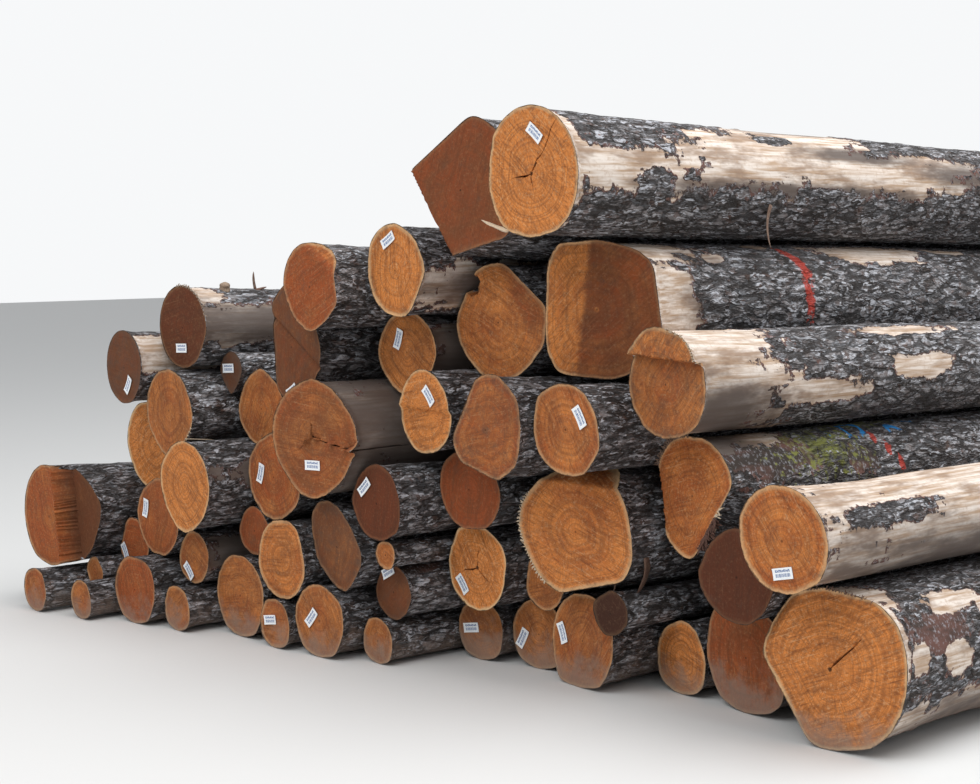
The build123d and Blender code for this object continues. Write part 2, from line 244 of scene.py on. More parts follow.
def blurred(values, width):
    """A ring of values, each the bell-weighted mean of those about it; width is in steps."""
    span = int(3 * width) + 1
    offsets = np.arange(-span, span + 1)
    weights = np.exp(-0.5 * (offsets / width) ** 2)
    weights /= weights.sum()
    return sum(w * np.roll(values, o, axis=-1) for w, o in zip(weights, offsets))


def lattice_noise(around, along, cells, seed, eased=True):
    """Noise from 0 to 1 that repeats once around: random values on a lattice, eased between or in blocks.

    around runs from 0 to 1, along is in cells, and cells is how many there are in one turn.
    """
    lines, shift = 997, 200
    grid = np.random.default_rng(seed).random((cells, lines))
    a, b = around * cells, along + shift
    i, j = np.floor(a).astype(int), np.floor(b).astype(int)
    i0, i1, j0, j1 = i % cells, (i + 1) % cells, j % lines, (j + 1) % lines
    if not eased:
        return grid[i0, j0]
    fa, fb = a - i, b - j
    fa, fb = fa * fa * (3 - 2 * fa), fb * fb * (3 - 2 * fb)
    low = grid[i0, j0] * (1 - fa) + grid[i1, j0] * fa
    high = grid[i0, j1] * (1 - fa) + grid[i1, j1] * fa
    return low * (1 - fb) + high * fb


def without_slots(depth):
    """Depths of the end's grid, with those that fell into a narrow slot put level with the median there."""
    padded = np.pad(depth, ((2, 2), (0, 0)), "edge")
    about = [np.roll(padded[i:i + len(depth)], j, axis=1) for i in range(5) for j in (-2, -1, 0, 1, 2)]
    level = np.median(np.stack(about), 0)
    return np.where(depth > level + SLOT_DEPTH, level, depth)


def grid_faces(rows, sides, first):
    """Quads between rows of a ring-shaped grid whose first vertex has that number."""
    i = np.arange(rows - 1)[:, None] * sides + np.arange(sides)[None] + first
    j = np.arange(rows - 1)[:, None] * sides + (np.arange(sides)[None] + 1) % sides + first
    return np.stack([i, i + sides, j + sides, j], -1).reshape(-1, 4)


def build_mesh(name, points, quads, fans, slots, values, uvs, materials):
    """A mesh object from arrays: quads, then fan triangles, with their materials and the points' values."""
    mesh = bpy.data.meshes.new(name)
    loops = np.concatenate([quads.ravel(), fans.ravel()])
    sizes = np.concatenate([np.full(len(quads), 4), np.full(len(fans), 3)])
    mesh.vertices.add(len(points))
    mesh.vertices.foreach_set("co", points.ravel().astype(np.float32))
    mesh.loops.add(len(loops))
    mesh.loops.foreach_set("vertex_index", loops.astype(np.int32))
    mesh.polygons.add(len(sizes))
    mesh.polygons.foreach_set("loop_start", np.concatenate([[0], np.cumsum(sizes)[:-1]]).astype(np.int32))
    mesh.polygons.foreach_set("material_index", slots.astype(np.int32))
    mesh.polygons.foreach_set("use_smooth", np.ones(len(sizes), bool))
    for key, value in values.items():
        layer = mesh.attributes.new(key, "FLOAT", "POINT")
        layer.data.foreach_set("value", np.broadcast_to(value, len(points)).astype(np.float32))
    layer = mesh.uv_layers.new(name="UVMap")
    layer.data.foreach_set("uv", uvs[loops].ravel().astype(np.float32))
    for material in materials:
        mesh.materials.append(material)
    mesh.update(calc_edges=True)
    mesh.validate()
    piece = bpy.data.objects.new(name, mesh)
    bpy.context.scene.collection.objects.link(piece)
    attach(piece, "root")
    return piece


def turn_from(angle, direction):
    """How far angles in radians are from a direction in degrees, from -180 to 180."""
    return (np.degrees(angle) - direction + 180) % 360 - 180


def patch_field(look, kind, along, angle):
    """How far inside the patches of a kind each point is: 1 in a patch's middle, 0 on its outline.

    One minus a norm between an ellipse's and a box's of the ways along and around, each by its half size.
    """
    power = 2.6
    field = np.full(np.broadcast(along, angle).shape, OUTSIDE)
    for name, at, direction, half_length, half_arc in look.patches:
        if name == kind:
            far = np.abs((along - at) / half_length) ** power
            far = far + np.abs(turn_from(angle, direction) / half_arc) ** power
            field = np.maximum(field, 1 - far ** (1 / power))
    return field


class Solid:
    """What is read from a log's solid: the triangles of its sawn end and side, its main face and its axis."""

    def __init__(self, name, look):
        triangles = node_triangles(name)
        corners = triangles.reshape(-1, 3)
        across = np.cross(triangles[:, 1] - triangles[:, 0], triangles[:, 2] - triangles[:, 0])
        area = np.maximum(np.linalg.norm(across, axis=1), 1e-12)
        slope = across[:, 1] / area
        self.front, self.back, self.width = corners[:, 1].min(), corners[:, 1].max(), np.ptp(corners[:, 0])
        self.end = triangles[slope < END_SLOPE]
        self.side = triangles[np.abs(slope) < SIDE_SLOPE]
        if look.knot:
            self.end = self.end[np.abs(self.end[..., 1].mean(1) - self.front - look.knot[0]) > KNOT_REACH]
        main = np.argmax(np.where(slope < END_SLOPE, area, 0))
        self.face_corner, self.face_normal = triangles[main][0], across[main] / area[main]
        near, far = self.end.reshape(-1, 3), corners[np.abs(corners[:, 1] - self.back) < 1e-4]
        near, far = (near.min(0) + near.max(0)) / 2, (far.min(0) + far.max(0)) / 2
        self.read_at = np.array([self.front + AXIS_FROM, self.back - BACK_MARGIN])
        guesses = near + (far - near) * (self.read_at - self.front)[:, None] / (self.back - self.front)
        self.middles = np.array([section_middle(self.side, *pair) for pair in zip(guesses, self.read_at)])
        self.drift = (self.middles[1] - self.middles[0]) / (self.read_at[1] - self.read_at[0])

    def axis(self, y):
        """The axis at y: a point, or an array of points for an array of y."""
        return self.middles[0] + self.drift * (np.asarray(y)[..., None] - self.read_at[0])


def find_rim(solid, middle, angle):
    """How far the sawn end reaches in each direction, found by tries and halving, and the same smoothed."""
    sides = len(angle)

    def on_end(far):
        x, z = middle[0] + far * np.cos(angle), middle[2] + far * np.sin(angle)
        return depth_at(solid.end, x.ravel(), z.ravel(), 0)[1].reshape(x.shape)

    tries = np.linspace(LEAST_RIM, 1, RIM_TRIES)[:, None] * (MOST_RIM * solid.width)
    last = tries.size - 1 - on_end(tries)[::-1].argmax(0)
    low, high = tries[last, 0], tries[np.minimum(last + 1, tries.size - 1), 0]
    for halving in range(RIM_HALVINGS):
        half = (low + high) / 2
        on = on_end(half)
        low, high = np.where(on, half, low), np.where(on, high, half)
    low = np.minimum(low, blurred(low, sides / 60) * RIM_SPIKE)
    return low, blurred(low, sides / 90)


def open_checks(look, angle, share, x, z, pith, seed):
    """Bends three columns of the end's grid along each check, and returns how deep each point lies in one.

    Beyond the tip they spread out again.
    """
    step = FULL_TURN / len(angle)
    deep = np.zeros(x.shape)
    for number, (direction, far, depth) in enumerate(look.checks):
        turn = math.radians(direction)
        column = int(round(turn / step)) % len(angle)
        radius = np.hypot(x[:, column] - pith[0], z[:, column] - pith[2])
        left = np.clip(1 - share[:, 0] / far, 0, 1)
        half = np.minimum(CHECK_HALF * left ** 0.5 + CHECK_TIP, 1.6 * step * radius)
        waver = lattice_noise(np.full(len(left), 0.5), share[:, 0] * 5, 3, seed + 40 + number) - 0.5
        waver *= CHECK_WAVER * np.clip(share[:, 0] * 4, 0, 1) * np.clip((1 - share[:, 0]) * 5, 0, 1)
        regular = np.clip((share[:, 0] - far) / 0.12, 0, 1)
        for side in (-1, 0, 1):
            k = (column + side) % len(angle)
            off = waver + side * half
            line_x = pith[0] + radius * math.cos(turn) - off * math.sin(turn)
            line_z = pith[2] + radius * math.sin(turn) + off * math.cos(turn)
            x[:, k] = regular * x[:, k] + (1 - regular) * line_x
            z[:, k] = regular * z[:, k] + (1 - regular) * line_z
        deep[:, column] = depth * left ** 0.4
    return deep


class SawnEnd:
    """The sawn end as a height field over rings that widen from the pith to the rim, read from the solid.

    Its checks and its slanted cut lower it, and a fine ripple of the saw roughens it.
    """

    def __init__(self, solid, look, angle, seed):
        middle = solid.axis(solid.front)
        low, self.rim = find_rim(solid, middle, angle)
        inside = INSIDE_RIM * low
        rim_y = depth_at(solid.end, middle[0] + inside * np.cos(angle), middle[2] + inside * np.sin(angle),
                         solid.front)[0]
        rim_y = blurred(without_slots(np.tile(rim_y, (5, 1)))[2], look.sides / 160)
        share = 1 - (1 - np.arange(1, look.rings + 1)[:, None] / look.rings) ** RING_CROWDING
        x = middle[0] + share * self.rim * np.cos(angle)
        z = middle[2] + share * self.rim * np.sin(angle)
        self.deep = open_checks(look, angle, share, x, z, middle, seed)
        y = depth_at(solid.end, x.ravel(), z.ravel(), np.inf)[0].reshape(x.shape)
        y = np.where(np.isfinite(y), y, rim_y)
        y[-1] = rim_y
        y = without_slots(y)
        rise = np.abs((np.stack([x, y, z], -1) - solid.face_corner) @ solid.face_normal)
        self.lesser = np.clip((rise - FACE_STEP) / FACE_BLEND, 0, 1)
        if look.chip:
            direction, far, fall = look.chip
            turn = math.radians(direction)
            over = (x - middle[0]) * math.cos(turn) + (z - middle[2]) * math.sin(turn)
            cut = np.maximum(over - far, 0) * fall
            y += cut
            rim_y = rim_y + cut[-1]
            self.lesser = np.maximum(self.lesser, np.clip(cut / FACE_BLEND, 0, 1))
        ripple = lattice_noise(angle / FULL_TURN, share * 5, 9, seed)
        y += SAW_RIPPLE * ripple * np.minimum(share * 3, 1) * (share < 1) + self.deep
        self.share, self.rim_y = share, rim_y + self.deep[-1]
        self.points = np.stack([x, y, z], -1)
        self.pith = np.array([middle[0], y[0].mean(), middle[2]])


def read_side(solid, look, angle, end, way):
    """How far the side lies from the axis at each share of the way back, in each direction.

    It is read from the solid at a few stations, smoothed around, and linear between them.
    """
    stations = np.array(STATIONS) / STATED_LENGTH
    y = end.rim_y + stations[:, None] * (solid.back - end.rim_y)
    radii = reach_at(solid.side, solid.axis(y).reshape(-1, 3), np.tile(angle, len(stations))).reshape(y.shape)
    radii = np.where(radii > LEAST_SIDE * end.rim.mean(), radii, end.rim)
    if look.knot:
        turn = turn_from(angle, look.knot[1])
        clear = np.abs(turn) > KNOT_ARC
        order = np.argsort(turn[clear])
        radii = np.array([np.interp(turn, turn[clear][order], ring[clear][order]) for ring in radii])
    radii = np.concatenate([end.rim[None], blurred(radii, look.sides * SIDE_BLUR / 360) * SIDE_EASE])
    stations = np.concatenate([[0], stations])
    place = np.clip(np.searchsorted(stations, way) - 1, 0, len(stations) - 2)
    part = np.clip((way - stations[place]) / (stations[place + 1] - stations[place]), 0, 1)[:, None]
    return radii[place] * (1 - part) + radii[place + 1] * part


def roughen(radius, along, angle, girth, look, sizes, seed):
    """The side's distances with the relief of bark and bare wood pressed in, and the fields of its patches.

    Two sizes of noise press in the plates of bark, the bark's thickness goes where it has come off, and long
    waves bend the whole. Noise in blocks makes the patches' outlines ragged.
    """
    around = np.broadcast_to(angle / FULL_TURN, radius.shape)

    def cells(size, number, eased=True):
        return lattice_noise(around, along / size[1], max(int(girth / size[0]), 5), seed + number, eased)

    hollow = 0.5 * (1 - cells(PLATE, 1)) + 0.5 * (1 - cells(SCALE, 2))
    waves = lattice_noise(around, along / WAVE, 5, seed + 3)
    ragged = TEAR_SHARE * (cells(TEAR, 4, False) - 0.5) + NICK_SHARE * (cells(NICK, 5, False) - 0.5)
    fields = {kind: patch_field(look, kind, along, angle) for kind in PATCHES}
    fields["bare"] = np.minimum(fields["bare"], -patch_field(look, "kept", along, angle)) + ragged
    fields["inner"] = fields["inner"] + ragged
    barked = np.clip(0.5 - np.maximum(fields["bare"], fields["inner"]) / OUTLINE_BLEND, 0, 1)
    depth = barked * sizes.relief * hollow + (1 - barked) * sizes.bark_thickness + WAVE_DEPTH * (1 - waves)
    return radius - np.minimum(along / RELIEF_FADE, 1) * depth, fields


def dress_log(name, look, sizes, materials):
    """One log as a closed grid: pole, rings of the sawn end, the tube of bark, rings of the far end, pole.

    The side is the distance from the axis, a function of the angle and the share of the way back.
    """
    seed = sum(ord(letter) * (i + 7) for i, letter in enumerate(name))
    sides, rows, rings = look.sides, look.rows, look.rings
    step = FULL_TURN / sides
    angle = np.arange(sides) * step
    split = [round(math.radians(check[0]) / step) % sides for check in look.checks if check[1] > 1]
    for k in split:
        angle[(k - 1) % sides] += SPLIT_PULL * step
        angle[(k + 1) % sides] -= SPLIT_PULL * step
    ways = np.stack([np.cos(angle), np.zeros(sides), np.sin(angle)], -1)
    solid = Solid(name, look)
    end = SawnEnd(solid, look, angle, seed)
    mean = end.rim.mean()

    way = (np.arange(1, rows + 1) / rows) ** (sizes.crowding_big if rows == BIG["rows"] else sizes.crowding)
    along = way[:, None] * (solid.back - end.rim_y)
    radius = read_side(solid, look, angle, end, way)
    radius, fields = roughen(radius, along, angle, FULL_TURN * mean, look, sizes, seed)
    for k in split:
        radius[:, k] -= SPLIT_DEPTH * np.clip(1 - along[:, k] / SPLIT_LENGTH, 0, 1)
    side = solid.axis(end.rim_y + along) + radius[..., None] * ways
    side[-1, :, 1] = solid.back
    inward = np.array(FAR_RINGS)[:, None]
    tail = solid.axis(solid.back)
    far = tail + (inward * radius[-1])[..., None] * ways

    points = np.concatenate([part.reshape(-1, 3) for part in (end.pith, end.points, side, far, tail)])
    points[:, 2] = np.maximum(points[:, 2], 0)
    last = rings + rows + len(FAR_RINGS) - 1
    quads = grid_faces(last + 1, sides, 1)
    k, k_next = np.arange(sides), (np.arange(sides) + 1) % sides
    rim_of = 1 + last * sides
    fans = np.concatenate([np.stack([np.zeros(sides, int), 1 + k, 1 + k_next], -1),
                           np.stack([np.full(sides, len(points) - 1), rim_of + k_next, rim_of + k], -1)])
    row = np.arange(last).repeat(sides)
    slots = np.concatenate([(row < rings - 1) | (row >= rings + rows - 1), np.ones(2 * sides)])

    def spread(pole_value, end_value, side_value, far_value, tail_value):
        """A value for every point, from its values on the five parts of the grid."""
        parts = ((end_value, rings), (side_value, rows), (far_value, len(FAR_RINGS)))
        return np.concatenate([[pole_value]] + [np.broadcast_to(value, (lines, sides)).ravel()
                                                for value, lines in parts] + [[tail_value]])

    values = {"edge": spread(mean, (1 - end.share) * end.rim, 0, (1 - inward) * radius[-1], mean),
              "ring": spread(0, end.share * mean, mean, inward * mean, 0),
              "crack": spread(1.0 if look.checks else 0, end.deep > 0, 0, 0, 0)}
    for kind, field in fields.items():
        values[kind] = spread(OUTSIDE, OUTSIDE, field, OUTSIDE, OUTSIDE)
    for key, a, b in zip(("fresh", "red", "dark"), look.tint, look.second):
        values[key + "_share"] = spread(a, a + (b - a) * end.lesser, a, a, a)
    for key in ("grime", "sap", "mud", "bark"):
        values[key + "_share"] = np.array(getattr(look, key))
    values["seed_share"] = np.array(seed % 97 / 9.7)
    unrolled = np.stack([np.broadcast_to(angle * mean, along.shape), along], -1)
    flat = ((end.points - end.pith)[..., [0, 2]], unrolled, (far - tail)[..., [0, 2]])
    uvs = np.concatenate([[[0, 0]]] + [part.reshape(-1, 2) for part in flat] + [[[0, 0]]])
    piece = build_mesh("bark_" + name, points, quads, fans, slots, values, uvs, materials)
    piece.data.set_sharp_from_angle(angle=math.radians(LOG_CREASE))
    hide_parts(name)


class Shader:
    """Short words for building a node tree."""

    def __init__(self, tree):
        self.tree = tree

    def node(self, kind, settings=None, **inputs):
        """A node with its settings, and its inputs by name, or by number as i0, i1 and so on."""
        made = self.tree.nodes.new(kind)
        for key, value in (settings or {}).items():
            setattr(made, key, value)
        for key, value in inputs.items():
            self.feed(made.inputs[int(key[1:]) if key[1:].isdigit() else key.replace("_", " ")], value)
        return made

    def feed(self, socket, value):
        if isinstance(value, bpy.types.NodeSocket):
            self.tree.links.new(value, socket)
        else:
            socket.default_value = value

    def math(self, how, a, b=0.0, c=0.0):
        return self.node("ShaderNodeMath", {"operation": how}, i0=a, i1=b, i2=c).outputs[0]

    def plus(self, a, b):
        return self.math("ADD", a, b)

    def times(self, a, b):
        return self.math("MULTIPLY", a, b)

    def rest(self, value):
        """One minus the value."""
        return self.math("SUBTRACT", 1.0, value)

    def line(self, value, slope, start):
        """The slope times the value, plus the start."""
        return self.math("MULTIPLY_ADD", value, slope, start)

    def ease(self, value, low, high):
        """0 below low, 1 above high, eased between."""
        return self.node("ShaderNodeMapRange", {"interpolation_type": "SMOOTHSTEP"}, i0=value, i1=low,
                         i2=high).outputs[0]

    def window(self, value, low, high, soft):
        """1 between low and high, and 0 outside them."""
        return self.times(self.ease(value, low, low + soft), self.rest(self.ease(value, high, high + soft)))

    def mix(self, share, a, b):
        return self.node("ShaderNodeMix", {"data_type": "RGBA"}, i0=share, i6=a, i7=b).outputs[2]

    def swing(self, value, far):
        """A value from 0 to 1 made to run from minus to plus half of far."""
        return self.line(value, far, -far / 2)

    def coat(self, colour, paint, mask, strength):
        """The colour with paint over it where the mask is, at that strength."""
        return self.mix(self.times(mask, strength), colour, paint)

    def coats(self, colour, *layers):
        """The colour under coats of paint, each where its pattern eases from low to high, at its strength."""
        for paint, pattern, low, high, strength in layers:
            colour = self.coat(colour, paint, self.ease(pattern, low, high), strength)
        return colour

    def noise(self, vector, scale, detail=2.0, rough=0.5, warp=0.0, output=0):
        return self.node("ShaderNodeTexNoise", None, Vector=vector, Scale=scale, Detail=detail,
                         Roughness=rough, Distortion=warp).outputs[output]

    def drawn_out(self, vector, share):
        """The vector with its Y shortened to that share, so that patterns grow long."""
        return self.node("ShaderNodeMapping", None, Vector=vector, Scale=(1.0, share, 1.0)).outputs[0]

    def vector(self, how, a, b=(0, 0, 0), scale=1.0):
        made = self.node("ShaderNodeVectorMath", {"operation": how}, i0=a, i1=b, i3=scale)
        return made.outputs["Value" if how == "DOT_PRODUCT" else "Vector"]

    def wander(self, vector, scale, detail, far):
        """The vector moved by coloured noise, at most half of far each way."""
        shift = self.noise(vector, scale, detail, 0.62, 0.0, "Color")
        shift = self.vector("SUBTRACT", shift, (0.5, 0.5, 0.5))
        return self.vector("ADD", vector, self.vector("SCALE", shift, scale=far))

    def joined(self, **parts):
        """A vector from its X, Y and Z."""
        return self.node("ShaderNodeCombineXYZ", None, **parts).outputs[0]

    def apart(self, vector):
        """The X, Y and Z of a vector."""
        return self.node("ShaderNodeSeparateXYZ", None, Vector=vector).outputs

    def value(self, key):
        """One of the mesh's own values."""
        return self.node("ShaderNodeAttribute", {"attribute_name": key}).outputs["Fac"]

    def place(self):
        return self.node("ShaderNodeTexCoord").outputs["Object"]

    def flat(self):
        return self.node("ShaderNodeUVMap", {"uv_map": "UVMap"}).outputs[0]

    def group(self, tree, **inputs):
        return self.node("ShaderNodeGroup", {"node_tree": tree}, **inputs).outputs

    def muddied(self, colour, looks, groups, place):
        """The colour under the log's dried mud."""
        mud = self.group(groups["mud"], Vector=place, Amount=self.value("mud_share"))
        return self.coat(colour, looks.mud, mud["Mask"], 0.65)

    def finish(self, body, colour, relief, strength, depth):
        """Feeds the colour, and the relief as bump of that depth, to the Principled BSDF."""
        bump = self.node("ShaderNodeBump", None, Strength=strength, Distance=depth, Height=relief)
        self.feed(body.inputs["Normal"], bump.outputs[0])
        self.feed(body.inputs["Base Color"], colour)


def new_group(name, inputs, outputs):
    """An empty node group and its two ends. An input without a default is a vector, all else is numbers."""
    tree = bpy.data.node_groups.new(name, "ShaderNodeTree")
    for key, default in inputs.items():
        kind = "NodeSocketVector" if default is None else "NodeSocketFloat"
        made = tree.interface.new_socket(key, in_out="INPUT", socket_type=kind)
        if default is not None:
            made.default_value = default
    for key in outputs:
        tree.interface.new_socket(key, in_out="OUTPUT", socket_type="NodeSocketFloat")
    return Shader(tree), tree.nodes.new("NodeGroupInput").outputs, tree.nodes.new("NodeGroupOutput").inputs


def bark_plates():
    """Node group: scaly bark. Stretched, warped cells are plates that each tilt their own way, with crevices
    far from a cell's middle, which the bark paints near-black as shade; finer cells, tilted too, are the
    flakes on the plates, and where their tone and a fine noise are both high the bark paints glints of light.
    Long fissures are the places where a noise stretched along the log is near its middle value."""
    s, given, end = new_group("Bark plates", {"Vector": None}, ("Crevice", "Tone", "Glint fleck", "Height"))
    flat = s.drawn_out(given["Vector"], 0.36)
    warped = s.wander(flat, 22.0, 3.0, 0.065)
    tone, tilt, far = [], [], []
    for cells_a_metre in (44.0, 115.0):
        cell = s.node("ShaderNodeTexVoronoi", {"feature": "F1"}, Vector=warped, Scale=cells_a_metre).outputs
        off = s.vector("SUBTRACT", warped, cell["Position"])
        lean = s.vector("SUBTRACT", cell["Color"], (0.5, 0.5, 0.5))
        tilt.append(s.times(s.vector("DOT_PRODUCT", off, lean), cells_a_metre))
        tone.append(s.node("ShaderNodeSeparateColor", None, Color=cell["Color"]).outputs[0])
        far.append(cell["Distance"])
    fine = s.noise(flat, 150.0, 3.0, 0.75)
    broad = s.noise(given["Vector"], 9.0, 2.0, 0.6)
    long = s.noise(s.drawn_out(given["Vector"], 0.16), 19.0, 3.0, 0.6, 1.0)
    fissure = s.rest(s.ease(s.math("ABSOLUTE", s.math("SUBTRACT", long, 0.5)), 0.0, 0.05))
    crevice = s.math("MAXIMUM", s.ease(s.line(broad, 0.3, far[0]), 0.62, 0.86), s.times(fissure, 0.85))
    both = s.line(tone[0], 0.3, s.times(tone[1], 0.3))
    height = s.line(tilt[0], 1.3, s.times(tilt[1], 0.6))
    s.feed(end["Crevice"], crevice)
    s.feed(end["Tone"], s.plus(both, s.line(fine, 0.7, s.times(broad, 0.45))))
    # the flecks are where the bark paints glints: painted highlights on the tips of the flakes
    s.feed(end["Glint fleck"], s.times(tone[1], fine))
    s.feed(end["Height"], s.plus(height, s.line(fine, 0.25, s.times(crevice, -0.7))))
    return s.tree


def dried_mud():
    """Node group: dried mud from the height over the floor, how muddy the log is, and noise."""
    s, given, end = new_group("Dried mud", {"Vector": None, "Amount": 0.0, "Foot": 0.16}, ("Mask",))
    low = s.rest(s.math("DIVIDE", s.apart(given["Vector"])["Z"], given["Foot"]))
    noise = s.noise(given["Vector"], 13.0, 4.0, 0.65)
    total = s.plus(s.plus(s.times(low, 0.6), given["Amount"]), s.line(noise, 1.3, -0.9))
    s.feed(end["Mask"], s.ease(total, -0.15, 0.4))
    return s.tree


def wood_grain():
    """Node group: long streaks of bare wood that run along the log, and softer, shorter stains."""
    s, given, end = new_group("Wood grain", {"Vector": None}, ("Streak", "Stain"))
    s.feed(end["Streak"], s.noise(s.drawn_out(given["Vector"], 0.06), 70.0, 3.0, 0.6, 0.4))
    s.feed(end["Stain"], s.noise(s.drawn_out(given["Vector"], 0.3), 12.0, 4.0, 0.65))
    return s.tree


def saw_marks():
    """Node group: straight, fine, unevenly spaced lines across the sawn end and softer smears along them."""
    s, given, end = new_group("Saw marks", {"Vector": None, "Turn": 0.0}, ("Lines", "Smear"))
    turned = s.node("ShaderNodeVectorRotate", {"rotation_type": "Z_AXIS"}, Vector=given["Vector"],
                    Angle=given["Turn"]).outputs[0]
    s.feed(end["Lines"], s.noise(s.drawn_out(turned, 0.05), 130.0, 3.0, 0.7))
    s.feed(end["Smear"], s.noise(s.drawn_out(turned, 0.2), 28.0, 3.0, 0.65))
    return s.tree


def new_material(name, roughness, specular=0.5):
    """A material with only its Principled BSDF; returns the material, its Shader and the BSDF."""
    material = bpy.data.materials.new(name)
    material.use_nodes = True
    material.node_tree.nodes.clear()
    s = Shader(material.node_tree)
    body = s.node("ShaderNodeBsdfPrincipled", None, Roughness=roughness, Specular_IOR_Level=specular)
    s.node("ShaderNodeOutputMaterial", None, Surface=body.outputs[0])
    return material, s, body


def bark_material(looks, groups):
    """Scaly bark with bare, mossy and painted patches, whose outlines come from the mesh and are frayed."""
    material, s, body = new_material("Scaly bark", 0.8, 0.35)
    place, own = s.place(), s.value("bark_share")
    plates, grain = s.group(groups["plates"], Vector=place), s.group(groups["grain"], Vector=place)
    crevice, streak, stain = plates["Crevice"], grain["Streak"], grain["Stain"]
    # the last coat paints pale flecks on the plates: painted highlights, glints of the sky
    colour = s.coats(looks.bark_dark, (looks.bark_grey, s.line(own, 0.3, plates["Tone"]), 0.7, 1.3, 1.0),
                     (looks.bark_red, s.noise(place, 26.0, 3.0), 0.5, 0.7, 0.45),
                     (looks.pale_bark_and_glint, s.line(own, 0.12, plates["Glint fleck"]), 0.32, 0.55, 1.0))
    # painted shade: the crevices between the plates are coated near-black
    colour = s.coat(colour, looks.crevice, crevice, 0.85)

    fray = s.swing(s.noise(place, 45.0, 3.0, 0.65), 0.7)
    bare_field = s.plus(s.value("bare"), fray)
    bare = s.ease(bare_field, 0.0, 0.04)
    inner = s.ease(s.plus(s.value("inner"), fray), 0.0, 0.1)
    # a band of dark inner bark rings each bare patch: inner bark, and also painted shadow under the bark's
    # edge
    inner = s.math("MAXIMUM", s.ease(bare_field, -0.12, -0.06), inner)
    under = s.coats(looks.inner_bark, (looks.bark_dark, stain, 0.35, 0.65, 1.0),
                    (looks.pale_bark_and_glint, s.noise(place, 70.0, 3.0, 0.7), 0.5, 0.7, 0.5))
    # this mask turns bare wood grey-brown: weathering, and on the lower side of log_46 painted shade
    wear_and_shade = s.line(stain, 0.8, s.plus(s.value("wear_and_shade"), -0.4))
    wood = s.coats(looks.bare_wood, (looks.bare_streak, streak, 0.35, 0.7, 1.0),
                   (looks.bare_stain, stain, 0.44, 0.64, 0.8),
                   (looks.bare_streak, s.noise(place, 45.0, 4.0, 0.75), 0.5, 0.7, 0.5),
                   (looks.worn_and_shaded_wood, wear_and_shade, 0.0, 0.7, 0.94))
    colour = s.mix(bare, s.mix(inner, colour, under), wood)

    tufts = s.noise(place, 38.0, 3.0, 0.7)
    moss = s.plus(s.value("moss"), s.line(tufts, 4.4, -2.45))
    green = s.mix(tufts, looks.moss_dark, looks.moss_light)
    spray = s.swing(s.noise(place, 60.0, 2.0, 0.7), 1.6)
    red, blue = (s.plus(s.value(key), spray) for key in ("red_paint", "blue_paint"))
    scrawl = s.math("ABSOLUTE", s.math("SUBTRACT", s.noise(place, 9.0, 0.0), 0.5))
    colour = s.coats(colour, (green, moss, 0.0, 0.5, s.line(crevice, -0.6, 0.95)),
                     (looks.paint_red, red, 0.0, 0.35, 0.9),
                     (looks.paint_blue, blue, 0.0, 0.35, s.rest(s.ease(scrawl, 0.05, 0.09))))
    colour = s.muddied(colour, looks, groups, place)

    relief = s.line(streak, 0.12, s.times(plates["Height"], s.rest(inner)))
    s.finish(body, colour, s.line(s.rest(bare), 0.4, relief), 1.0, 0.012)
    s.feed(body.inputs["Roughness"], s.line(bare, -0.15, 0.8))
    return material


